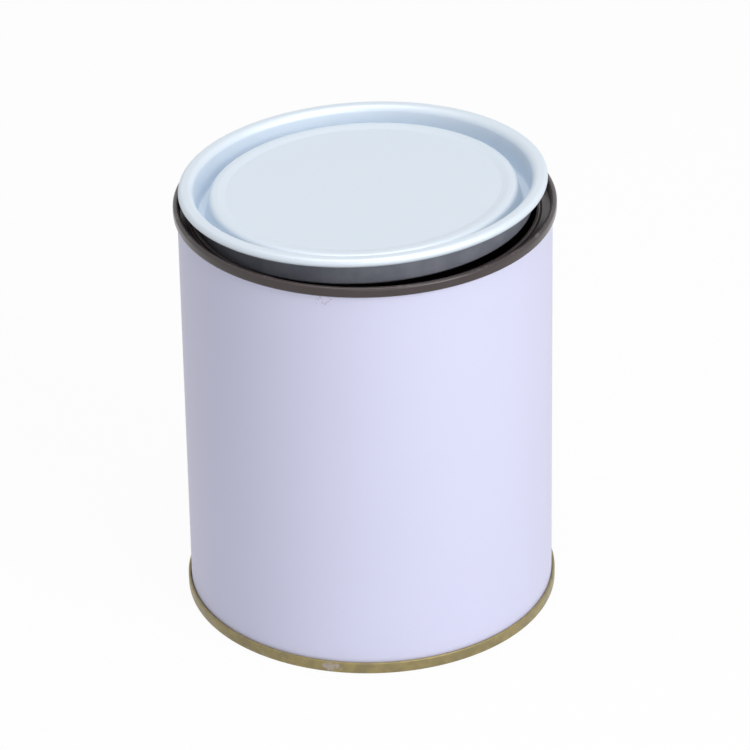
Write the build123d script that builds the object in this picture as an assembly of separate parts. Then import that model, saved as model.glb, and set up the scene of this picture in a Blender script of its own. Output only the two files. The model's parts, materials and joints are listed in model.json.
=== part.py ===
from build123d import *
from math import cos, degrees, radians, sin, tan
import os

# One-litre round paint tin with a plug lid that lies askew in its ring. Millimetres, +Z up.
# The origin is the centre of the base, on the surface that the tin stands on.

# ---- Driving sizes -----------------------------------------------------------------------
BODY_BORE_R = 54.0            # inside radius of the rolled body
HEIGHT = 128.0                # base to the top of the ring

BODY_SHEET = 0.22             # tinplate of the body
RING_SHEET = 0.28             # tinplate of the top ring
END_SHEET = 0.26              # tinplate of the bottom end
LID_SHEET = 0.26              # tinplate of the lid

CHUCK_GAP = 0.04              # between an end's chuck wall and the inside of the body

TOP_SEAM_H = 3.0              # ring's double seam, edge to edge
TOP_COVER_ROOM = 0.51         # room past the end of the ring's hook
TOP_BODY_ROOM = 0.48          # room past the end of the body's hook
TOP_LAYER_GAP = 0.15          # between its layers, outside the body wall
TOP_SEAM_ROUND = 0.70         # centre-line radius of its top corners

BOTTOM_SEAM_H = 3.7           # the same five sizes for the base
BOTTOM_COVER_ROOM = 0.82
BOTTOM_BODY_ROOM = 0.80
BOTTOM_LAYER_GAP = 0.07
BOTTOM_SEAM_ROUND = 0.48

LEDGE_DEPTH = 3.4             # ring: top of the seam down to the ledge that carries the lid
NOSE_RISE = 0.8               # ring: nose of the bore above the ledge
NOSE_W = 1.0                  # ring: flat of the nose, on the centre line
NOSE_SLOPE_W = 0.5            # ring: run of the slope from the ledge up to the nose
NOSE_ROUNDS = [0.5, 0.3, 0.25, 0.5]   # ring: at the ledge, the slope's foot and top, the bore
BORE_L = 5.4                  # ring: nose down to the lower end of the bore
BORE_HEM = 1.2                # ring: length of the hem folded up outside the bore
BORE_HEM_W = 0.7              # ring: bore to hem, centre line to centre line

RIM_W = 4.15                  # lid: outside of the curl in to the plug, level with the nose at home
PLUG_TAPER = 3.0              # degrees that the plug's wall leans in, going down
PLUG_FIT = 0.22               # radial clearance of the plug in the bore, at home
PLUG_DEPTH = 8.65             # lid: middle of the curl down to the underside of the plug
PLUG_CORNER = 0.9             # lid: centre-line radius of the plug's two lower corners
CURL_FIT = 0.33               # radial clearance of the curl inside the ring
CURL_H = 2.6                  # lid: height of the curled rim
CURL_NOSE_GAP = 0.15          # foot of the nose's slope out to the curl's tucked edge, on their lines
CURL_HEM = 0.9                # lid: length of the curl's tucked edge
CURL_TUCK_ROUND = 0.45        # lid: centre-line radius at the tucked edge
CURL_SHOULDER = 1.9           # lid: centre-line radius from the rim down into the plug
SEAT_GAP = 0.10               # curl to ledge when the lid is home
CHANNEL_W = 2.6               # lid: floor of the channel, wall to wall
CHANNEL_MOUTH_W = 4.6         # lid: plug in to the raised panel, outside to outside
PANEL_ROUND = 1.6             # lid: centre-line radius of the panel's edge
PANEL_DROP = 1.5              # lid: middle of the curl down to the panel's rim
PANEL_RIM_W = 2.3             # lid: width of the panel's rim
PANEL_RAMP_W = 2.2            # lid: width of the slope inside that rim
PANEL_STEP = 0.5              # lid: the middle of the panel lies this much lower
PANEL_CREST_ROUND = 2.0       # lid: centre-line radius where the rim turns down to the slope
PANEL_FOOT_ROUND = 0.8        # lid: centre-line radius at the foot of that slope

SINK_DEPTH = 3.9              # base: seam edge up to the countersink
SINK_W = 2.2                  # base: width of the countersink
SINK_ROUND = 0.6
PANEL_DEPTH = 3.1             # base: seam edge up to the panel
BEAD_INSETS = (9.0, 21.0)     # base: body wall in to each expansion ring
BEAD_W = 7.0
BEAD_H = 0.5
SLOPE_W = 0.8                 # base: run of each short slope

LAP_W = 1.8                   # side weld: width of the overlap
LAP_H = 0.06                  # side weld: how far it stands proud
LAP_MARGIN = 0.4              # side weld: clear of each seam
LAP_AZIMUTH = 90.0

COMPOUND_R = 0.13             # sealing compound in the seams: section radius
COMPOUND_FIT = 0.04

ASKEW_DEG = 2.61              # how far the lid lies from level
LOW_SIDE_AZIMUTH = 141.0      # the side where its edge is lowest
RIM_LIFT = 4.87               # middle of the curl above the ring's top, as the lid lies
SWING_DROP = 10.0             # height of the nose above the swing's axis

# ---- Sizes that follow -------------------------------------------------------------------
BODY_R = BODY_BORE_R + BODY_SHEET
BODY_MID_R = BODY_BORE_R + BODY_SHEET / 2


def layer_radii(sheet, gap):
    """Centre-line radii of an end's chuck wall, cover hook, body hook and seam wall."""
    chuck = BODY_BORE_R - CHUCK_GAP - sheet / 2
    cover = BODY_R + gap + sheet / 2
    hook = cover + sheet / 2 + gap + BODY_SHEET / 2
    wall = hook + BODY_SHEET / 2 + gap + sheet / 2
    return chuck, cover, hook, wall


RING_CHUCK, RING_COVER, TOP_HOOK_R, RING_WALL = layer_radii(RING_SHEET, TOP_LAYER_GAP)
BASE_CHUCK, BASE_COVER, BOTTOM_HOOK_R, BASE_WALL = layer_radii(END_SHEET, BOTTOM_LAYER_GAP)

LEDGE_Z = HEIGHT - LEDGE_DEPTH
NOSE_Z = LEDGE_Z + NOSE_RISE
CURL_R = RING_CHUCK - RING_SHEET / 2 - CURL_FIT
PLUG_R = CURL_R - RIM_W
PANEL_R = PLUG_R - CHANNEL_MOUTH_W
BORE_R = PLUG_R + PLUG_FIT
NOSE_FOOT_R = BORE_R + RING_SHEET / 2 + NOSE_W + NOSE_SLOPE_W
HOME_Z = LEDGE_Z + SEAT_GAP + CURL_H / 2         # middle of the curl with the lid home

# Each seam's two folds, on the side that a hook points into, and where the hooks end.
TOP_BODY_FOLD = HEIGHT - RING_SHEET - TOP_LAYER_GAP - BODY_SHEET
TOP_COVER_END = TOP_BODY_FOLD - TOP_COVER_ROOM
TOP_BODY_END = HEIGHT - TOP_SEAM_H + RING_SHEET + TOP_BODY_ROOM
BOTTOM_BODY_FOLD = END_SHEET + BOTTOM_LAYER_GAP + BODY_SHEET
BOTTOM_COVER_END = BOTTOM_BODY_FOLD + BOTTOM_COVER_ROOM
BOTTOM_BODY_END = BOTTOM_SEAM_H - END_SHEET - BOTTOM_BODY_ROOM

# The lid swings about a level axis outside the tin, beyond its low side. One turn about it
# takes the lid from home, through the way it lies, to clear of the tin.
SWING_REACH = (HEIGHT + RIM_LIFT - HOME_Z) / sin(radians(ASKEW_DEG))
SWING_AZIMUTH = radians(LOW_SIDE_AZIMUTH)
SWING_POINT = (SWING_REACH * cos(SWING_AZIMUTH), SWING_REACH * sin(SWING_AZIMUTH), NOSE_Z - SWING_DROP)
SWING_AXIS = (-sin(SWING_AZIMUTH), cos(SWING_AZIMUTH), 0)


def hem(leg_to_leg):
    """The two corner radii of a sheet folded back on itself."""
    return [leg_to_leg / 2 - 0.01] * 2


def section_of(points, radii, sheet):
    """Section of a sheet whose centre line runs through these (radius, height) points."""
    line = FilletPolyline(*points, radius=radii)
    return make_face(line.offset_2d(sheet / 2, kind=Kind.ARC, side=Side.BOTH))


def spun(section):
    """Turn a (radius, height) section about the tin's axis."""
    return revolve(Plane.XZ * section, Axis.Z)


def spun_disc(points, radii, sheet):
    """Turn a sheet that ends on the axis: its line runs past the axis and is cut there."""
    past_axis = points[:-1] + [(-sheet, points[-1][1])]
    half = Pos(BODY_BORE_R, 0) * Rectangle(2 * BODY_BORE_R, 4 * HEIGHT)
    return spun(section_of(past_axis, radii, sheet) & half)


# ---- The pieces --------------------------------------------------------------------------
def make_body_shell():
    """Rolled cylinder, folded out and back as a hook at each end, with its side weld."""
    half = BODY_SHEET / 2
    low = BOTTOM_BODY_FOLD - half
    high = TOP_BODY_FOLD + half
    points = [
        (BOTTOM_HOOK_R, BOTTOM_BODY_END - half),
        (BOTTOM_HOOK_R, low),
        (BODY_MID_R, low),
        (BODY_MID_R, high),
        (TOP_HOOK_R, high),
        (TOP_HOOK_R, TOP_BODY_END + half),
    ]
    radii = hem(BOTTOM_HOOK_R - BODY_MID_R) + hem(TOP_HOOK_R - BODY_MID_R)
    return spun(section_of(points, radii, BODY_SHEET)) + make_side_weld()


def make_side_weld():
    """Raised strip where the body's two edges overlap."""
    low = BOTTOM_SEAM_H + LAP_MARGIN
    high = HEIGHT - TOP_SEAM_H - LAP_MARGIN
    inner = BODY_MID_R
    outer = BODY_R + LAP_H
    arc = degrees(LAP_W / BODY_R)
    strip = Pos((inner + outer) / 2, (low + high) / 2) * Rectangle(outer - inner, high - low)
    return Rot(0, 0, LAP_AZIMUTH - arc / 2) * revolve(Plane.XZ * strip, Axis.Z, revolution_arc=arc)


def make_top_ring():
    """Double seam, chuck wall, ledge, nose and hemmed bore, all one pressing."""
    half = RING_SHEET / 2
    bore = BORE_R + half
    seam_low = HEIGHT - TOP_SEAM_H + half
    top = HEIGHT - half
    ledge = LEDGE_Z - half
    nose = NOSE_Z - half
    bore_low = NOSE_Z - BORE_L + half
    points = [
        (RING_COVER, TOP_COVER_END - half),
        (RING_COVER, seam_low),
        (RING_WALL, seam_low),
        (RING_WALL, top),
        (RING_CHUCK, top),
        (RING_CHUCK, ledge),
        (NOSE_FOOT_R, ledge),
        (bore + NOSE_W, nose),
        (bore, nose),
        (bore, bore_low),
        (bore + BORE_HEM_W, bore_low),
        (bore + BORE_HEM_W, bore_low + BORE_HEM),
    ]
    radii = hem(RING_WALL - RING_COVER) + [TOP_SEAM_ROUND] * 2 + NOSE_ROUNDS + hem(BORE_HEM_W)
    return spun(section_of(points, radii, RING_SHEET))


def make_bottom_end():
    """Double seam, chuck wall, countersink and a panel with expansion rings."""
    half = END_SHEET / 2
    seam_high = BOTTOM_SEAM_H - half
    sink = SINK_DEPTH + half
    panel = PANEL_DEPTH + half
    points = [
        (BASE_COVER, BOTTOM_COVER_END + half),
        (BASE_COVER, seam_high),
        (BASE_WALL, seam_high),
        (BASE_WALL, half),
        (BASE_CHUCK, half),
        (BASE_CHUCK, sink),
        (BASE_CHUCK - SINK_W, sink),
        (BASE_CHUCK - SINK_W - SLOPE_W, panel),
    ]
    for inset in BEAD_INSETS:
        outer = BODY_BORE_R - inset
        inner = outer - BEAD_W
        points += [
            (outer, panel),
            (outer - SLOPE_W, panel + BEAD_H),
            (inner + SLOPE_W, panel + BEAD_H),
            (inner, panel),
        ]
    points.append((0, panel))
    sink_radii = [SINK_ROUND, SINK_ROUND, SLOPE_W]
    bead_radii = [SLOPE_W] * (4 * len(BEAD_INSETS))
    radii = hem(BASE_WALL - BASE_COVER) + [BOTTOM_SEAM_ROUND] * 2 + sink_radii + bead_radii
    return spun_disc(points, radii, END_SHEET)


def make_lid():
    """Curled rim, tapered plug, deep channel and raised panel, laid askew in the ring."""
    half = LID_SHEET / 2
    roll = CURL_R - half
    tuck = NOSE_FOOT_R + CURL_NOSE_GAP
    rim_top = CURL_H / 2 - half
    floor = half - PLUG_DEPTH
    rim = -PANEL_DROP - half
    lean = tan(radians(PLUG_TAPER))
    nose_level = NOSE_Z - HOME_Z
    plug_top = PLUG_R - half + (rim_top - nose_level) * lean
    plug_low = PLUG_R - half + (floor - nose_level) * lean
    rim_inner = PANEL_R - half - PANEL_RIM_W
    points = [
        (tuck, CURL_HEM - rim_top),
        (tuck, -rim_top),
        (roll, -rim_top),
        (roll, rim_top),
        (plug_top, rim_top),
        (plug_low, floor),
        (plug_low - CHANNEL_W - LID_SHEET, floor),
        (PANEL_R - half, rim),
        (rim_inner, rim),
        (rim_inner - PANEL_RAMP_W, rim - PANEL_STEP),
        (0, rim - PANEL_STEP),
    ]
    curl_radii = [CURL_TUCK_ROUND, rim_top - 0.01, rim_top - 0.01, CURL_SHOULDER]
    radii = curl_radii + [PLUG_CORNER, PLUG_CORNER, PANEL_ROUND, PANEL_CREST_ROUND, PANEL_FOOT_ROUND]
    level = Pos(0, 0, HOME_Z) * spun_disc(points, radii, LID_SHEET)
    return level.rotate(Axis(SWING_POINT, SWING_AXIS), ASKEW_DEG)


def make_compound(radius, height):
    """Ring of sealing compound, past the end of a cover hook."""
    return spun(Pos(radius, height) * Circle(COMPOUND_R))


def make_top_compound():
    """Compound above the ring's cover hook, under the fold of the body."""
    return make_compound(RING_COVER, TOP_COVER_END + COMPOUND_FIT + COMPOUND_R)


def make_bottom_compound():
    """Compound below the base's cover hook, over the fold of the body."""
    return make_compound(BASE_COVER, BOTTOM_COVER_END - COMPOUND_FIT - COMPOUND_R)


PIECES = {
    "body_shell": make_body_shell,
    "bottom_end": make_bottom_end,
    "top_ring": make_top_ring,
    "lid": make_lid,
    "bottom_seam_compound": make_bottom_compound,
    "top_seam_compound": make_top_compound,
}

os.makedirs("parts", exist_ok=True)
for node, make_piece in PIECES.items():
    export_step(make_piece(), f"parts/{node}.step")
print("swing axis through", [round(v, 4) for v in SWING_POINT], "along", [round(v, 5) for v in SWING_AXIS])
print("outside radii: ring", round(RING_WALL + RING_SHEET / 2, 3), "base", round(BASE_WALL + END_SHEET / 2, 3))
print("curl radius", round(CURL_R, 3), "home height", HOME_Z, "nose height", NOSE_Z)
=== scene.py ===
"""Looks of a one-litre paint tin whose lid lies askew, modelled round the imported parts.

Metres, with +Z up.
"""

import json
import logging
import math
from dataclasses import dataclass, field
from enum import Enum

import bmesh
import bpy
from mathutils import Matrix, Vector


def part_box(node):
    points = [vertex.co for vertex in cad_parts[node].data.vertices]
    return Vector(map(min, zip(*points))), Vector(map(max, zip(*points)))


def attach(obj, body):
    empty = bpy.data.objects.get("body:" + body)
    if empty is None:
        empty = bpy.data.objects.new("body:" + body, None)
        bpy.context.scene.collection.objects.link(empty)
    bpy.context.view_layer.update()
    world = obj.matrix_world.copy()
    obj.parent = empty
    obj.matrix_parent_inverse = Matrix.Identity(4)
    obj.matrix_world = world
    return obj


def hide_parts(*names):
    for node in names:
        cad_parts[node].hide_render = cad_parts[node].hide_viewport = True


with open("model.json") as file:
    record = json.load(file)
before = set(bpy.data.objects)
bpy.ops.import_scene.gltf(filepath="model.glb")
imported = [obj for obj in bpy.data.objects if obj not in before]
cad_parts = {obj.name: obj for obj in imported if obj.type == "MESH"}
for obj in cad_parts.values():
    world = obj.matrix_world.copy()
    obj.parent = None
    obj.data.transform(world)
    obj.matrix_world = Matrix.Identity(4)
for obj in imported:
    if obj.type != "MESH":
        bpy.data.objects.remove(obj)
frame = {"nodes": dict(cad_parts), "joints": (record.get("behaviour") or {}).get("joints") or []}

log = logging.getLogger("paint_tin")

MM = 0.001
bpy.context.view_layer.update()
BEND_EASE = 0.01 * MM  # keeps two bends that meet from sharing an edge
Colour = tuple[float, float, float]


# ---- Selecting and shaping ---------------------------------------------------------------
def deselect_all() -> None:
    """Leave edit mode and clear the selection, so the next operator acts on its own piece only."""
    if bpy.context.mode != "OBJECT":
        bpy.ops.object.mode_set(mode="OBJECT")
    bpy.ops.object.select_all(action="DESELECT")


def edit_all(select_mode: str) -> None:
    """Enter edit mode on the active piece with everything selected.

    Args:
        select_mode: VERT, EDGE or FACE.
    """
    bpy.ops.object.mode_set(mode="EDIT")
    bpy.ops.mesh.select_mode(type=select_mode)
    bpy.ops.mesh.select_all(action="SELECT")


def ring_place(point: Vector) -> Vector:
    """Radius and height of a point, as a 2-D vector."""
    return Vector((math.hypot(point.x, point.y), point.z))


class Facing(Enum):
    """The way that a sheet's show side faces at its probe point, as (outwards, upwards)."""

    OUT = (1.0, 0.0)
    UP = (0.0, 1.0)
    DOWN = (0.0, -1.0)


@dataclass(frozen=True)
class Corner:
    """One corner of a sheet's centre line, turned about the tin's axis.

    Radius, height and the rounding's radius are in metres.
    """

    radius: float
    height: float
    rounding: float = 0.0
    steps: int = 5

    def place(self) -> Vector:
        """Radius and height as a 2-D vector."""
        return Vector((self.radius, self.height))

    def setback(self, before: "Corner", after: "Corner") -> float:
        """How far from the corner its rounding starts.

        Args:
            before: The corner before this one along the line.
            after: The corner after it.

        Returns:
            The distance along each leg, in metres.
        """
        turn = (self.place() - before.place()).angle(after.place() - self.place())
        return self.rounding * math.tan(turn / 2)


def hem(inner: tuple[float, float], outer: tuple[float, float]) -> list[Corner]:
    """Two corners that fold a sheet back on itself.

    Args:
        inner: Radius and height of the first corner.
        outer: Radius and height of the second corner.

    Returns:
        The corners, each rounded by half the gap between the legs.
    """
    half_width = (Vector(inner) - Vector(outer)).length / 2 - BEND_EASE
    return [Corner(*inner, half_width, 6), Corner(*outer, half_width, 6)]


@dataclass
class PressedSheet:
    """A round sheet-metal pressing: a circle pulled along its section, bent, and given its wall."""

    name: str
    body: str
    slot: str
    sheet: float
    show: "Finish"
    back: "Finish"
    probe: tuple[float, float] = (0.0, 0.0)
    facing: Facing = Facing.OUT
    segments: int = 192

    def corners(self) -> list[Corner]:
        """Corners of the centre line, from the free edge on."""
        raise NotImplementedError

    def detail(self, piece: bpy.types.Object) -> None:
        """Work on the piece after it has its wall; a plain pressing has none."""

    def build(self) -> bpy.types.Object:
        """Press, bend, thicken, finish and hang the piece on its body.

        Returns:
            The finished piece.
        """
        piece = self.pull_section()
        self.bend_corners(piece)
        self.orient(piece)
        self.give_wall(piece)
        self.detail(piece)
        self.smooth(piece)
        piece.data.transform(self.placing())
        piece.data.update()
        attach(piece, self.body)
        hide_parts(self.name)
        log.info("%s: %d faces", piece.name, len(piece.data.polygons))
        return piece

    def placing(self) -> Matrix:
        """Where the finished mesh is moved to; most pressings are modelled in place."""
        return Matrix.Identity(4)

    def pull_section(self) -> bpy.types.Object:
        """Extrude a circle from corner to corner.

        Returns:
            The new piece, an open surface with sharp corners.
        """
        first, *rest = self.corners()
        deselect_all()
        bpy.ops.mesh.primitive_circle_add(
            vertices=self.segments,
            radius=first.radius,
            location=(0, 0, first.height),
            rotation=(0, 0, math.pi / self.segments),
        )
        piece = bpy.context.object
        piece.name = piece.data.name = self.name + "_skin"
        bpy.ops.object.transform_apply(location=True, rotation=True, scale=True)
        edit_all("EDGE")
        here = first
        for corner in rest:
            lift = (0, 0, corner.height - here.height)
            bpy.ops.mesh.extrude_region_move(TRANSFORM_OT_translate={"value": lift})
            if corner.radius > 0:
                grow = corner.radius / here.radius
                bpy.ops.transform.resize(
                    value=(grow, grow, 1), center_override=(0, 0, corner.height)
                )
            else:
                bpy.ops.mesh.merge(type="CENTER")
            here = corner
        bpy.ops.object.mode_set(mode="OBJECT")
        return piece

    def bend_corners(self, piece: bpy.types.Object) -> None:
        """Round each corner by bevelling its ring of edges.

        Args:
            piece: The open surface.
        """
        corners = self.corners()
        edit_all("EDGE")
        for before, corner, after in zip(corners, corners[1:], corners[2:]):
            if corner.rounding <= 0:
                continue
            self.select_ring(piece, corner)
            bpy.ops.mesh.bevel(
                offset=corner.setback(before, after),
                segments=corner.steps,
                affect="EDGES",
                clamp_overlap=False,
            )
        bpy.ops.object.mode_set(mode="OBJECT")

    def select_ring(self, piece: bpy.types.Object, corner: Corner) -> None:
        """Select the ring of edges at a corner, in edit mode.

        Args:
            piece: The piece being edited.
            corner: The corner whose ring is wanted.
        """
        bpy.ops.mesh.select_all(action="DESELECT")
        mesh = bmesh.from_edit_mesh(piece.data)
        near = 0.02 * MM
        for edge in mesh.edges:
            on_ring = all((ring_place(v.co) - corner.place()).length < near for v in edge.verts)
            edge.select_set(on_ring)
        bmesh.update_edit_mesh(piece.data)

    def orient(self, piece: bpy.types.Object) -> None:
        """Turn all faces so that the show side looks the way it should.

        Args:
            piece: The open surface.
        """
        edit_all("FACE")
        bpy.ops.mesh.remove_doubles(threshold=0.001 * MM)
        bpy.ops.mesh.normals_make_consistent(inside=False)
        bpy.ops.object.mode_set(mode="OBJECT")
        target = Vector(self.probe)
        face = min(
            piece.data.polygons, key=lambda p: (ring_place(p.center) - target).length
        )
        outwards = Vector((face.center.x, face.center.y, 0)).normalized()
        side = Vector((face.normal.dot(outwards), face.normal.z))
        if side.dot(Vector(self.facing.value)) < 0:
            edit_all("FACE")
            bpy.ops.mesh.flip_normals()
            bpy.ops.object.mode_set(mode="OBJECT")

    def give_wall(self, piece: bpy.types.Object) -> None:
        """Thicken the surface about its centre line, with the back finish on the other side.

        Args:
            piece: The open surface.
        """
        piece.data.materials.append(self.show.material())
        piece.data.materials.append(self.back.material())
        wall = piece.modifiers.new("wall", "SOLIDIFY")
        wall.thickness = self.sheet
        wall.offset = 0
        wall.use_even_offset = True
        wall.use_quality_normals = True
        wall.material_offset = 1
        bpy.context.view_layer.objects.active = piece
        bpy.ops.object.modifier_apply(modifier=wall.name)

    def smooth(self, piece: bpy.types.Object) -> None:
        """Shade the bends smooth and keep the cut edges sharp.

        Args:
            piece: The finished mesh.
        """
        deselect_all()
        piece.select_set(True)
        bpy.context.view_layer.objects.active = piece
        bpy.ops.object.shade_smooth_by_angle(angle=math.radians(35))
        deselect_all()


# ---- Finishes ----------------------------------------------------------------------------
class Graph:
    """A material's node tree, with short calls for what the finishes share."""

    def __init__(self, name: str) -> None:
        """Start a material with a principled shader wired to its output.

        Args:
            name: The material's name.
        """
        self.material = bpy.data.materials.new(name)
        self.material.use_nodes = True
        self.tree = self.material.node_tree
        self.tree.nodes.clear()
        self.shader = self.add("ShaderNodeBsdfPrincipled")
        output = self.add("ShaderNodeOutputMaterial")
        self.link(self.shader.outputs[0], output.inputs["Surface"])
        self.coords = self.add("ShaderNodeTexCoord").outputs["Object"]

    def add(self, kind: str, **settings: object) -> bpy.types.Node:
        """Add a node.

        Args:
            kind: The node's type name.
            settings: Attributes to set on it.

        Returns:
            The new node.
        """
        node = self.tree.nodes.new(kind)
        for key, value in settings.items():
            setattr(node, key, value)
        return node

    def link(self, source: bpy.types.NodeSocket, target: bpy.types.NodeSocket) -> None:
        """Wire one socket to another."""
        self.tree.links.new(source, target)

    def feed(self, socket: bpy.types.NodeSocket, value: object) -> None:
        """Give a socket a wire or a constant.

        Args:
            socket: The input socket.
            value: An output socket, a number, or a colour or vector.
        """
        if isinstance(value, bpy.types.NodeSocket):
            self.link(value, socket)
        else:
            socket.default_value = value

    def maths(self, operation: str, *values: object) -> bpy.types.NodeSocket:
        """Result of a math node.

        Args:
            operation: The node's operation.
            values: Its inputs, wires or numbers.

        Returns:
            The output socket.
        """
        node = self.add("ShaderNodeMath", operation=operation)
        for socket, value in zip(node.inputs, values):
            self.feed(socket, value)
        return node.outputs[0]

    def stretched(self, scale: Vector) -> bpy.types.NodeSocket:
        """Object coordinates stretched by a mapping node.

        Args:
            scale: How much, along each axis.

        Returns:
            The stretched coordinates.
        """
        node = self.add("ShaderNodeMapping", vector_type="POINT")
        node.inputs["Scale"].default_value = scale
        self.link(self.coords, node.inputs["Vector"])
        return node.outputs[0]

    def noise(
        self,
        scale: float,
        detail: float = 3.0,
        roughness: float = 0.5,
        vector: bpy.types.NodeSocket | None = None,
    ) -> bpy.types.NodeSocket:
        """Value of a noise texture.

        Args:
            scale: Its scale, per metre.
            detail: Its octaves.
            roughness: How strong the finer octaves are.
            vector: The coordinates it reads, the piece's own if left out.

        Returns:
            The value, from 0 to 1 and mostly near the middle.
        """
        node = self.add("ShaderNodeTexNoise", noise_dimensions="3D")
        self.link(vector or self.coords, node.inputs["Vector"])
        node.inputs["Scale"].default_value = scale
        node.inputs["Detail"].default_value = detail
        node.inputs["Roughness"].default_value = roughness
        return node.outputs["Fac"]

    def ramp(
        self,
        value: bpy.types.NodeSocket,
        low: float,
        high: float,
        start: float = 0.0,
        end: float = 1.0,
    ) -> bpy.types.NodeSocket:
        """A smooth step between two values.

        Args:
            value: What is read.
            low: Where the step begins.
            high: Where it ends.
            start: The result below low.
            end: The result above high.

        Returns:
            The stepped value.
        """
        node = self.add("ShaderNodeMapRange", interpolation_type="SMOOTHSTEP", clamp=True)
        self.link(value, node.inputs["Value"])
        node.inputs["From Min"].default_value = low
        node.inputs["From Max"].default_value = high
        node.inputs["To Min"].default_value = start
        node.inputs["To Max"].default_value = end
        return node.outputs["Result"]

    def mix(self, amount: object, first: object, second: object) -> bpy.types.NodeSocket:
        """Blend of two colours.

        Args:
            amount: How much of the second, a wire or a number.
            first: A colour or a wire.
            second: A colour or a wire.

        Returns:
            The blended colour.
        """
        node = self.add("ShaderNodeMix", data_type="RGBA")
        self.feed(node.inputs[0], amount)
        for socket, colour in ((node.inputs[6], first), (node.inputs[7], second)):
            self.feed(socket, (*colour, 1.0) if isinstance(colour, tuple) else colour)
        return node.outputs[2]

    def axis_parts(self) -> list[bpy.types.NodeSocket]:
        """X, Y and Z of the piece's own coordinates."""
        node = self.add("ShaderNodeSeparateXYZ")
        self.link(self.coords, node.inputs[0])
        return list(node.outputs)

    def spot(
        self, centre: Vector, size: float, ragged: bpy.types.NodeSocket
    ) -> bpy.types.NodeSocket:
        """A ragged spot: 1 inside, 0 outside.

        Args:
            centre: Its middle.
            size: Its rough radius.
            ragged: A noise value that shapes its edge.

        Returns:
            The spot's mask.
        """
        away = self.add("ShaderNodeVectorMath", operation="DISTANCE")
        self.link(self.coords, away.inputs[0])
        away.inputs[1].default_value = centre
        wavy = self.maths("MULTIPLY", self.maths("SUBTRACT", ragged, 0.5), size * 2.4)
        edge = self.maths("ADD", away.outputs["Value"], wavy)
        return self.ramp(edge, size * 0.8, size * 1.2, 1.0, 0.0)

    def either(self, *masks: bpy.types.NodeSocket) -> bpy.types.NodeSocket:
        """The strongest of several masks."""
        result = masks[0]
        for mask in masks[1:]:
            result = self.maths("MAXIMUM", result, mask)
        return result

    def surface(self, colour: object, metallic: object, roughness: object) -> None:
        """Set the three main sockets.

        Args:
            colour: Base colour.
            metallic: Metallic value.
            roughness: Roughness value.
        """
        base = (*colour, 1.0) if isinstance(colour, tuple) else colour
        self.feed(self.shader.inputs["Base Color"], base)
        self.feed(self.shader.inputs["Metallic"], metallic)
        self.feed(self.shader.inputs["Roughness"], roughness)

    def relief(self, height: bpy.types.NodeSocket, depth: float) -> None:
        """Add a bump.

        Args:
            height: The height, from 0 to 1.
            depth: What 1 is, in metres.
        """
        bump = self.add("ShaderNodeBump")
        bump.inputs["Strength"].default_value = 1.0
        bump.inputs["Distance"].default_value = depth
        self.link(height, bump.inputs["Height"])
        self.link(bump.outputs[0], self.shader.inputs["Normal"])


class Finish:
    """A surface finish that makes its material once."""

    label: str

    def dress(self, graph: Graph) -> None:
        """Wire the finish into a new material; each finish has its own."""
        raise NotImplementedError

    def material(self) -> bpy.types.Material:
        """The finish's material, made on first use."""
        made = bpy.data.materials.get(self.label)
        if made is None:
            graph = Graph(self.label)
            self.dress(graph)
            made = graph.material
        return made


@dataclass(frozen=True)
class WhiteCoat(Finish):
    """Roller-applied satin white on the outside of the body, left off along the side weld."""

    colour: Colour
    shade: Colour
    weld_y: float
    bare_half: float
    smudge: Vector
    smudge_size: float = 2.4 * MM
    smudge_strength: float = 0.32
    dirt: Colour = (0.25, 0.23, 0.25)
    steel: Colour = (0.42, 0.41, 0.38)
    burnt_steel: Colour = (0.20, 0.19, 0.19)
    heat_fade: tuple[float, float] = (0.5 * MM, 1.3 * MM)
    margin_waver: float = 0.4 * MM
    margin_edge: float = 0.15 * MM
    bare_metallic: float = 0.85
    roughness: float = 0.42
    grain: float = 0.012 * MM
    label: str = "body_white_coat"

    def dress(self, graph: Graph) -> None:
        """Wire the coat, its cloudiness, the bare margin and a smudge under the ring."""
        cloud = graph.ramp(graph.noise(18.0, 4.0), 0.35, 0.65)
        coat = graph.mix(graph.maths("MULTIPLY", cloud, 0.5), self.colour, self.shade)
        x, y, _ = graph.axis_parts()
        margin_noise = graph.maths("MULTIPLY", graph.noise(700.0, 2.0), self.margin_waver)
        off_weld = graph.maths("ADD", graph.maths("ABSOLUTE", x), margin_noise)
        beside = graph.ramp(off_weld, self.bare_half, self.bare_half + self.margin_edge, 1.0, 0.0)
        bare = graph.maths("MULTIPLY", beside, graph.maths("GREATER_THAN", y, self.weld_y))
        heat = graph.ramp(graph.maths("ABSOLUTE", x), *self.heat_fade, 1.0, 0.0)
        steel = graph.mix(heat, self.steel, self.burnt_steel)
        smudge = graph.spot(self.smudge, self.smudge_size, graph.noise(900.0, 5.0, 0.7))
        speckle = graph.ramp(graph.noise(1500.0, 2.0), 0.50, 0.62)
        mark_amount = graph.maths(
            "MULTIPLY", graph.maths("MULTIPLY", smudge, speckle), self.smudge_strength
        )
        colour = graph.mix(bare, graph.mix(mark_amount, coat, self.dirt), steel)
        graph.surface(colour, graph.maths("MULTIPLY", bare, self.bare_metallic), self.roughness)
        graph.relief(graph.noise(650.0, 2.0), self.grain)


@dataclass(frozen=True)
class PackedFinish(Finish):
    """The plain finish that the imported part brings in, under its slot's name."""

    label: str

    def material(self) -> bpy.types.Material:
        """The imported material, as it is."""
        return bpy.data.materials[self.label]


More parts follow.
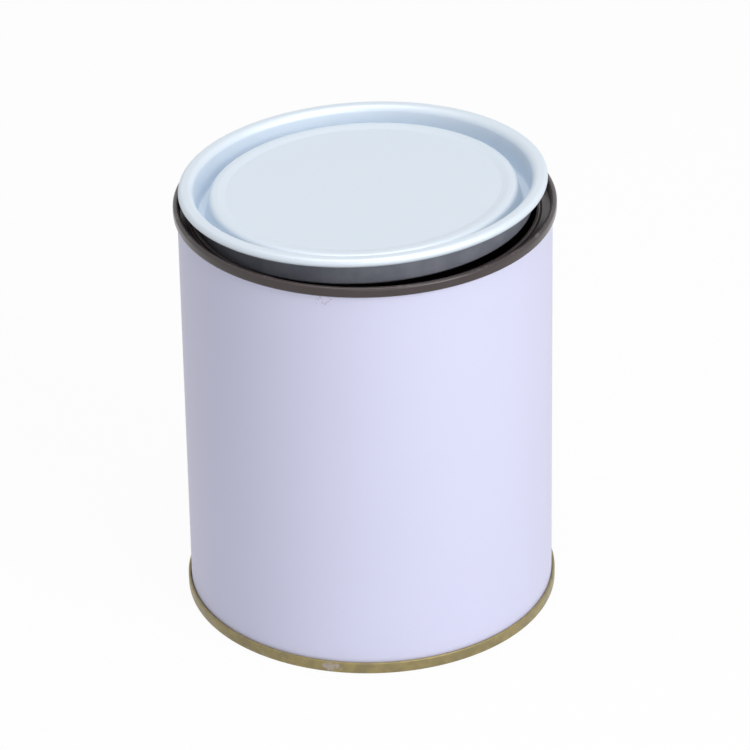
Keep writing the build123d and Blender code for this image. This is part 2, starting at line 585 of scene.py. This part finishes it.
@dataclass(frozen=True)
class Lacquer(Finish):
    """Tinted lacquer on tinplate: cloudy, finely grained and lighter in places through wear; on the
    ring, its lighter top band is painted highlight as well as wear.
    """

    label: str
    colour: Colour
    shade: Colour
    bright: Colour
    metallic: float = 0.6
    roughness: float = 0.35
    cloud_scale: float = 90.0
    # A height band lightened in patches: wear, and on the ring's top edge also a painted highlight.
    worn_and_highlight_band: tuple[float, float] | None = None
    band_patch_limits: tuple[float, float] = (0.52, 0.70)
    worn_spots: tuple[tuple[Vector, float], ...] = ()
    wear_and_highlight_strength: float = 0.8
    roughness_spread: float = 0.02
    grain: float = 0.006 * MM
    gloss: float = 0.5
    stretch: Vector = field(default_factory=lambda: Vector((1, 1, 1)))

    def dress(self, graph: Graph) -> None:
        """Wire the tint, its cloudiness, the lighter places of wear and painted highlight, and the
        grain.
        """
        drawn = graph.stretched(self.stretch)
        cloud = graph.ramp(graph.noise(self.cloud_scale, 4.0, 0.6, drawn), 0.35, 0.65)
        tint = graph.mix(cloud, self.colour, self.shade)
        ragged = graph.noise(1400.0, 4.0, 0.65)
        wear_and_highlight = [graph.spot(centre, size, ragged) for centre, size in self.worn_spots]
        # Lighter band by height: wear on the base, painted highlight as well as wear along the
        # ring's top edge.
        if self.worn_and_highlight_band:
            _, _, height = graph.axis_parts()
            band = graph.ramp(height, *self.worn_and_highlight_band)
            patches = graph.ramp(graph.noise(150.0, 5.0, 0.7), *self.band_patch_limits)
            wear_and_highlight.append(graph.maths("MULTIPLY", band, patches))
        colour = tint
        if wear_and_highlight:
            mark_amount = graph.maths("MULTIPLY", graph.either(*wear_and_highlight), self.wear_and_highlight_strength)
            colour = graph.mix(mark_amount, tint, self.bright)
        fine = graph.noise(2200.0, 2.0)
        smoothest = self.roughness - self.roughness_spread
        roughest = self.roughness + self.roughness_spread
        roughness = graph.ramp(fine, 0.3, 0.7, smoothest, roughest)
        graph.surface(colour, self.metallic, roughness)
        graph.shader.inputs["Specular IOR Level"].default_value = self.gloss
        graph.relief(fine, self.grain)


@dataclass(frozen=True)
class Compound(Finish):
    """Matt rubber sealing compound, a little uneven."""

    colour: Colour = (0.22, 0.21, 0.18)
    light: Colour = (0.30, 0.28, 0.24)
    roughness: float = 0.75
    lump_depth: float = 0.03 * MM
    label: str = "seam_compound"

    def dress(self, graph: Graph) -> None:
        """Wire the rubber and its unevenness."""
        lumps = graph.noise(1200.0, 3.0)
        colour = graph.mix(graph.ramp(lumps, 0.35, 0.65), self.colour, self.light)
        graph.surface(colour, 0.0, self.roughness)
        graph.relief(lumps, self.lump_depth)


# ---- The tin -----------------------------------------------------------------------------
@dataclass
class Seam:
    """A double seam's sizes, from the edge of the tin inwards.

    An end's hook locks into the body's.
    """

    outer_radius: float
    end_sheet: float
    body_sheet: float
    gap: float
    height: float
    hook: float
    top_rounding: float

    @property
    def wall(self) -> float:
        """Centre-line radius of the seam's outer wall."""
        return self.outer_radius - self.end_sheet / 2

    @property
    def body_hook(self) -> float:
        """Centre-line radius of the body's hook."""
        return self.outer_radius - self.end_sheet - self.gap - self.body_sheet / 2

    @property
    def cover_hook(self) -> float:
        """Centre-line radius of the end's hook."""
        return self.body_hook - self.body_sheet / 2 - self.gap - self.end_sheet / 2

    @property
    def body(self) -> float:
        """Centre-line radius of the body."""
        return self.cover_hook - self.end_sheet / 2 - self.gap - self.body_sheet / 2


@dataclass
class TinSizes:
    """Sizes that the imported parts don't give as a box, and the two seams made from them."""

    body_sheet: float = 0.22 * MM
    ring_sheet: float = 0.28 * MM
    end_sheet: float = 0.26 * MM
    lid_sheet: float = 0.26 * MM
    chuck_gap: float = 0.04 * MM

    @property
    def top(self) -> Seam:
        """The ring's seam."""
        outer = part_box("top_ring")[1].x
        return Seam(
            outer,
            self.ring_sheet,
            self.body_sheet,
            gap=0.15 * MM,
            height=3.0 * MM,
            hook=1.7 * MM,
            top_rounding=0.70 * MM,
        )

    @property
    def bottom(self) -> Seam:
        """The base's seam."""
        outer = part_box("bottom_end")[1].x
        return Seam(
            outer,
            self.end_sheet,
            self.body_sheet,
            gap=0.07 * MM,
            height=3.7 * MM,
            hook=2.2 * MM,
            top_rounding=0.48 * MM,
        )

    @property
    def height(self) -> float:
        """Base to the top of the ring."""
        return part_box("top_ring")[1].z

    def chuck(self, seam: Seam) -> float:
        """Centre-line radius of the wall inside a seam."""
        return seam.body - self.body_sheet / 2 - self.chuck_gap - seam.end_sheet / 2


@dataclass
class BodyShell(PressedSheet):
    """The rolled cylinder with a hook at each end and its side weld at the back."""

    sizes: TinSizes = field(default_factory=TinSizes)
    lap_rise: float = 0.06 * MM
    lap_clear: float = 0.4 * MM

    def corners(self) -> list[Corner]:
        """Lower hook, wall, upper hook."""
        low, high = self.sizes.bottom, self.sizes.top
        half = self.sheet / 2
        fold_low = low.end_sheet + low.gap + half
        fold_high = self.sizes.height - high.end_sheet - high.gap - half
        return [
            Corner(low.body_hook, fold_low - half + low.hook),
            *hem((low.body_hook, fold_low), (low.body, fold_low)),
            *hem((high.body, fold_high), (high.body_hook, fold_high)),
            Corner(high.body_hook, fold_high + half - high.hook),
        ]

    def lap_ends(self) -> tuple[float, float]:
        """Heights between which the weld's overlap shows."""
        low = self.sizes.bottom.height + self.lap_clear
        return low, self.sizes.height - self.sizes.top.height - self.lap_clear

    def bend_corners(self, piece: bpy.types.Object) -> None:
        """Bend as any sheet, then cut the wall at the ends of the weld.

        Args:
            piece: The open surface.
        """
        super().bend_corners(piece)
        for height in self.lap_ends():
            edit_all("FACE")
            bpy.ops.mesh.bisect(plane_co=(0, 0, height), plane_no=(0, 0, 1))
            bpy.ops.object.mode_set(mode="OBJECT")

    def detail(self, piece: bpy.types.Object) -> None:
        """Raise the overlap of the side weld, one column of the wall's faces, at the back.

        Args:
            piece: The walled piece.
        """
        low, high = self.lap_ends()
        edit_all("FACE")
        bpy.ops.mesh.select_all(action="DESELECT")
        mesh = bmesh.from_edit_mesh(piece.data)
        half_step = math.pi / self.segments
        for face in mesh.faces:
            middle = face.calc_center_median()
            at_back = abs(math.atan2(middle.x, middle.y)) < half_step
            within = low < middle.z < high
            face.select_set(at_back and within and face.normal.y > 0.9)
        bmesh.update_edit_mesh(piece.data)
        bpy.ops.mesh.extrude_region_move()
        radius = self.sizes.top.body + self.sheet / 2
        grow = 1 + self.lap_rise / radius
        bpy.ops.transform.resize(value=(grow, grow, 1), center_override=(0, 0, 0))
        bpy.ops.object.mode_set(mode="OBJECT")


@dataclass
class TopRing(PressedSheet):
    """The bronze ring: seam, chuck wall, ledge, nose and the hemmed bore that grips the lid."""

    sizes: TinSizes = field(default_factory=TinSizes)
    ledge_depth: float = 3.4 * MM
    nose_rise: float = 0.8 * MM
    nose_width: float = 1.0 * MM
    slope: float = 0.5 * MM
    bore_radius: float = 49.42 * MM
    hem_width: float = 0.7 * MM
    hem_length: float = 1.2 * MM
    ledge_round: float = 0.5 * MM
    slope_round: float = 0.3 * MM
    nose_round: float = 0.25 * MM
    bore_round: float = 0.5 * MM

    def corners(self) -> list[Corner]:
        """Cover hook, seam wall, chuck wall, ledge, nose, bore and hem."""
        seam, half = self.sizes.top, self.sheet / 2
        top = self.sizes.height - half
        fold = self.sizes.height - seam.height + half
        chuck = self.sizes.chuck(seam)
        ledge = self.sizes.height - self.ledge_depth - half
        nose = ledge + self.nose_rise
        bore = self.bore_radius + half
        bore_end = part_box(self.name)[0].z + half
        return [
            Corner(seam.cover_hook, self.sizes.height - seam.height + seam.hook),
            *hem((seam.cover_hook, fold), (seam.wall, fold)),
            Corner(seam.wall, top, seam.top_rounding, 7),
            Corner(chuck, top, seam.top_rounding, 7),
            Corner(chuck, ledge, self.ledge_round),
            Corner(bore + self.nose_width + self.slope, ledge, self.slope_round, 4),
            Corner(bore + self.nose_width, nose, self.nose_round, 4),
            Corner(bore, nose, self.bore_round),
            *hem((bore, bore_end), (bore + self.hem_width, bore_end)),
            Corner(bore + self.hem_width, bore_end + self.hem_length),
        ]


@dataclass
class BottomEnd(PressedSheet):
    """The gold base: seam, chuck wall, countersink and a panel with two expansion rings."""

    sizes: TinSizes = field(default_factory=TinSizes)
    sink_width: float = 2.2 * MM
    sink_round: float = 0.6 * MM
    panel_depth: float = 3.1 * MM
    slope: float = 0.8 * MM
    bead_width: float = 7.0 * MM
    bead_rise: float = 0.5 * MM
    bead_radii: tuple[float, ...] = (45.0 * MM, 33.0 * MM)

    def corners(self) -> list[Corner]:
        """Cover hook, seam wall, chuck wall, countersink, rings and the middle."""
        seam, half = self.sizes.bottom, self.sheet / 2
        fold = seam.height - half
        chuck = self.sizes.chuck(seam)
        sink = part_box(self.name)[1].z - half
        panel = self.panel_depth + half
        line = [
            Corner(seam.cover_hook, seam.height - seam.hook),
            *hem((seam.cover_hook, fold), (seam.wall, fold)),
            Corner(seam.wall, half, seam.top_rounding, 6),
            Corner(chuck, half, seam.top_rounding, 6),
            Corner(chuck, sink, self.sink_round),
            Corner(chuck - self.sink_width, sink, self.sink_round),
            Corner(chuck - self.sink_width - self.slope, panel, self.slope, 4),
        ]
        for outer in self.bead_radii:
            inner = outer - self.bead_width
            line += [
                Corner(outer, panel, self.slope, 4),
                Corner(outer - self.slope, panel + self.bead_rise, self.slope, 4),
                Corner(inner + self.slope, panel + self.bead_rise, self.slope, 4),
                Corner(inner, panel, self.slope, 4),
            ]
        return [*line, Corner(0, panel)]


@dataclass
class PlugLid(PressedSheet):
    """The enamelled lid: curled rim, tapered plug, deep channel and raised panel."""

    sizes: TinSizes = field(default_factory=TinSizes)
    rim_height: float = 2.6 * MM
    roll_width: float = 2.05 * MM
    roll_hem: float = 0.9 * MM
    tuck_round: float = 0.45 * MM
    rim_shoulder: float = 1.9 * MM
    rim_radius: float = 53.35 * MM
    plug_radius: float = 49.2 * MM
    plug_taper: float = 3.0
    plug_depth: float = 8.65 * MM
    plug_corner: float = 0.9 * MM
    fit_drop: float = 0.6 * MM
    channel: float = 2.6 * MM
    panel_radius: float = 44.6 * MM
    panel_drop: float = 1.5 * MM
    panel_rim: float = 2.3 * MM
    panel_ramp: float = 2.2 * MM
    panel_step: float = 0.5 * MM
    panel_round: float = 1.6 * MM
    crest_round: float = 2.0 * MM
    foot_round: float = 0.8 * MM
    seat: float = 3.3 * MM

    def corners(self) -> list[Corner]:
        """Tucked edge, curl, plug, channel, panel and its middle, from the curl's middle."""
        half = self.sheet / 2
        roll = self.rim_radius - half
        top = self.rim_height / 2 - half
        floor = half - self.plug_depth
        rim = -self.panel_drop - half
        lean = math.tan(math.radians(self.plug_taper))
        plug_top = self.plug_radius - half + (top + self.fit_drop) * lean
        plug_low = self.plug_radius - half + (floor + self.fit_drop) * lean
        rim_inner = self.panel_radius - half - self.panel_rim
        rolled = top - BEND_EASE
        return [
            Corner(roll - self.roll_width, self.roll_hem - top),
            Corner(roll - self.roll_width, -top, self.tuck_round),
            Corner(roll, -top, rolled, 8),
            Corner(roll, top, rolled, 8),
            Corner(plug_top, top, self.rim_shoulder, 8),
            Corner(plug_low, floor, self.plug_corner, 6),
            Corner(plug_low - self.channel - self.sheet, floor, self.plug_corner, 6),
            Corner(self.panel_radius - half, rim, self.panel_round, 9),
            Corner(rim_inner, rim, self.crest_round, 4),
            Corner(rim_inner - self.panel_ramp, rim - self.panel_step, self.foot_round, 4),
            Corner(0, rim - self.panel_step),
        ]

    def home(self) -> float:
        """Height of the curl's middle with the lid pressed home."""
        return self.sizes.height - self.seat + self.rim_height / 2

    def placing(self) -> Matrix:
        """Lift to home, then turn about the swing's axis by how far the lid lies from home."""
        joint = next(j for j in frame["joints"] if j["child"] == self.body)
        pivot = Matrix.Translation(Vector(joint["pos_m"]))
        turn = Matrix.Rotation(math.radians(-joint["range_deg"][0]), 4, Vector(joint["axis"]))
        return pivot @ turn @ pivot.inverted() @ Matrix.Translation((0, 0, self.home()))


# ---- Surroundings ------------------------------------------------------------------------
@dataclass
class Surroundings:
    """Floor, plain white background, lamps and the camera."""

    elevation: float = 29.74
    distance: float = 1.383
    lens: float = 224.85
    roll: float = 1.085
    aim_right: float = 1.96 * MM
    aim_up: float = 4.40 * MM
    floor_size: float = 30.0
    floor_shade: float = 0.88
    floor_share: float = 0.95
    ambient: float = 0.32
    key_power: float = 7.7
    front_power: float = 2.4
    top_power: float = 6.5

    def seen_mask(self, tree: bpy.types.NodeTree, share: float) -> bpy.types.NodeSocket:
        """How much of a plain white shows to the camera and in gloss.

        Args:
            tree: The material's or world's nodes.
            share: The most of it.

        Returns:
            share for camera, glossy and transmitted rays, and 0 for the rest.
        """
        path = tree.nodes.new("ShaderNodeLightPath")
        total = path.outputs["Is Camera Ray"]
        for name in ("Is Glossy Ray", "Is Transmission Ray"):
            most = tree.nodes.new("ShaderNodeMath")
            most.operation = "MAXIMUM"
            tree.links.new(total, most.inputs[0])
            tree.links.new(path.outputs[name], most.inputs[1])
            total = most.outputs[0]
        part = tree.nodes.new("ShaderNodeMath")
        part.operation = "MULTIPLY"
        tree.links.new(total, part.inputs[0])
        part.inputs[1].default_value = share
        return part.outputs[0]

    def add_floor(self) -> None:
        """A wide pale floor that keeps a faint shadow."""
        deselect_all()
        bpy.ops.mesh.primitive_plane_add(size=self.floor_size, location=(0, 0, 0))
        floor = bpy.context.object
        floor.name = "floor"
        material = bpy.data.materials.new("floor_white")
        material.use_nodes = True
        tree = material.node_tree
        tree.nodes.clear()
        matt = tree.nodes.new("ShaderNodeBsdfDiffuse")
        shade = self.floor_shade
        matt.inputs["Color"].default_value = (shade, shade, shade, 1)
        plain = tree.nodes.new("ShaderNodeEmission")
        plain.inputs["Color"].default_value = (1, 1, 1, 1)
        blend = tree.nodes.new("ShaderNodeMixShader")
        output = tree.nodes.new("ShaderNodeOutputMaterial")
        tree.links.new(self.seen_mask(tree, self.floor_share), blend.inputs[0])
        tree.links.new(matt.outputs[0], blend.inputs[1])
        tree.links.new(plain.outputs[0], blend.inputs[2])
        tree.links.new(blend.outputs[0], output.inputs["Surface"])
        floor.data.materials.append(material)

    def light_world(self) -> None:
        """White to the eye and in gloss, and a soft grey sky for the rest."""
        world = bpy.data.worlds.new("studio")
        bpy.context.scene.world = world
        world.use_nodes = True
        tree = world.node_tree
        tree.nodes.clear()
        sky = tree.nodes.new("ShaderNodeBackground")
        sky.inputs["Strength"].default_value = self.ambient
        white = tree.nodes.new("ShaderNodeBackground")
        blend = tree.nodes.new("ShaderNodeMixShader")
        output = tree.nodes.new("ShaderNodeOutputWorld")
        for background in (sky, white):
            background.inputs["Color"].default_value = (1, 1, 1, 1)
        tree.links.new(self.seen_mask(tree, 1.0), blend.inputs[0])
        tree.links.new(sky.outputs[0], blend.inputs[1])
        tree.links.new(white.outputs[0], blend.inputs[2])
        tree.links.new(blend.outputs[0], output.inputs["Surface"])

    def add_lamp(self, name: str, place: Vector, target: Vector, size: float, power: float) -> None:
        """A square area lamp.

        Args:
            name: Its name.
            place: Where it hangs.
            target: What it points at.
            size: Its side.
            power: Its power in watts.
        """
        data = bpy.data.lights.new(name, "AREA")
        data.shape = "SQUARE"
        data.size = size
        data.energy = power
        lamp = bpy.data.objects.new(name, data)
        bpy.context.scene.collection.objects.link(lamp)
        lamp.location = place
        lamp.rotation_euler = (target - place).to_track_quat("-Z", "Y").to_euler()

    def add_camera(self, target: Vector) -> None:
        """The camera, tilted a little, aimed just beside the middle of the tin.

        Args:
            target: The middle of the tin's axis.
        """
        rise, tilt = math.radians(self.elevation), math.radians(self.roll)
        back = Vector((0, -math.cos(rise), math.sin(rise)))
        level_up = Vector((0, math.sin(rise), math.cos(rise)))
        level_right = Vector((1, 0, 0))
        right = level_right * math.cos(tilt) - level_up * math.sin(tilt)
        up = level_up * math.cos(tilt) + level_right * math.sin(tilt)
        place = target + back * self.distance
        aim = target + right * self.aim_right + up * self.aim_up
        back = (place - aim).normalized()
        right = up.cross(back).normalized()
        up = back.cross(right)
        data = bpy.data.cameras.new("camera")
        data.lens = self.lens
        data.sensor_width = 36.0
        data.clip_start, data.clip_end = 0.05, 60.0
        camera = bpy.data.objects.new("camera", data)
        bpy.context.scene.collection.objects.link(camera)
        turned = Matrix((right, up, back)).transposed().to_4x4()
        camera.matrix_world = Matrix.Translation(place) @ turned
        bpy.context.scene.camera = camera

    def build(self, height: float) -> None:
        """Make everything round the tin.

        Args:
            height: Base to the top of the ring.
        """
        middle = Vector((0, 0, height / 2))
        self.add_camera(middle)
        self.add_floor()
        self.light_world()
        self.add_lamp("key", Vector((0.75, -0.75, 0.80)), middle, 0.70, self.key_power)
        self.add_lamp("front", Vector((0.25, -1.3, 0.5)), middle, 0.9, self.front_power)
        self.add_lamp("top", Vector((0, -0.1, 1.5)), middle, 1.0, self.top_power)
        scene = bpy.context.scene
        scene.view_settings.view_transform = "Standard"


def main() -> None:
    """Build the tin piece by piece, then what stands round it."""
    logging.basicConfig(level=logging.INFO, format="%(name)s: %(message)s")
    sizes = TinSizes()
    height = sizes.height
    lid_lacquer = Lacquer(
        "lid_grey_lacquer",
        colour=(0.33, 0.345, 0.405),
        shade=(0.27, 0.283, 0.34),
        bright=(0.4, 0.4, 0.4),
        metallic=0.25,
        roughness=0.32,
        cloud_scale=140.0,
        gloss=0.3,
        grain=0.003 * MM,
    )
    bronze = Lacquer(
        "ring_bronze_lacquer",
        colour=(0.060, 0.045, 0.045),
        shade=(0.052, 0.039, 0.039),
        bright=(0.15, 0.13, 0.125),
        metallic=0.0,
        roughness=0.20,
        cloud_scale=60.0,
        gloss=0.42,
        grain=0.0002 * MM,
        # The lighter band along the ring's top edge is a painted highlight on the ridge, partly
        # lacquer wear.
        worn_and_highlight_band=(height - 0.5 * MM, height - 0.05 * MM),
    )
    gold = Lacquer(
        "base_gold_lacquer",
        colour=(0.33, 0.265, 0.112),
        shade=(0.25, 0.205, 0.095),
        bright=(0.40, 0.35, 0.33),
        metallic=0.35,
        roughness=0.38,
        cloud_scale=260.0,
        band_patch_limits=(0.60, 0.74),
        worn_and_highlight_band=(3.7 * MM, 2.8 * MM),
        worn_spots=tuple(
            (Vector((x * MM, -53.8 * MM, z * MM)), size * MM)
            for x, z, size in (
                (-14.4, 2.3, 0.9), (-12.6, 1.9, 1.3), (-10.6, 2.4, 0.8), (-9.6, 1.6, 0.6)
            )
        ),
    )
    tinplate = Lacquer(
        "inside_tinplate",
        colour=(0.50, 0.49, 0.46),
        shade=(0.42, 0.41, 0.39),
        bright=(0.6, 0.6, 0.6),
        metallic=0.9,
        roughness=0.30,
        cloud_scale=60.0,
        stretch=Vector((1, 1, 0.15)),
    )
    white = WhiteCoat(
        colour=(0.70, 0.705, 0.91),
        shade=(0.685, 0.69, 0.895),
        weld_y=30 * MM,
        bare_half=4.0 * MM,
        smudge=Vector((-12.1 * MM, -52.9 * MM, height - 3.9 * MM)),
    )
    lid = PlugLid(
        "lid", "lid", "lid_enamel", sizes.lid_sheet, PackedFinish("lid_enamel"), lid_lacquer,
        probe=(20 * MM, -2.0 * MM), facing=Facing.UP, segments=224,
    )
    body = BodyShell(
        "body_shell", "can", "body_white", sizes.body_sheet, white, tinplate,
        probe=(55 * MM, height / 2), facing=Facing.OUT,
    )
    ring = TopRing(
        "top_ring", "can", "ring_bronze", sizes.ring_sheet, bronze, bronze,
        probe=(56 * MM, height - 1.5 * MM), facing=Facing.OUT,
    )
    base = BottomEnd(
        "bottom_end", "can", "base_gold", sizes.end_sheet, gold, gold,
        probe=(20 * MM, 3.2 * MM), facing=Facing.DOWN,
    )
    for pressing in (body, base, ring, lid):
        pressing.build()
    for node in ("bottom_seam_compound", "top_seam_compound"):
        slots = frame["nodes"][node].data.materials
        slots.clear()
        slots.append(Compound().material())
        log.info("%s: finished in seam compound", node)
    Surroundings().build(height)


if __name__ == "__main__":
    main()
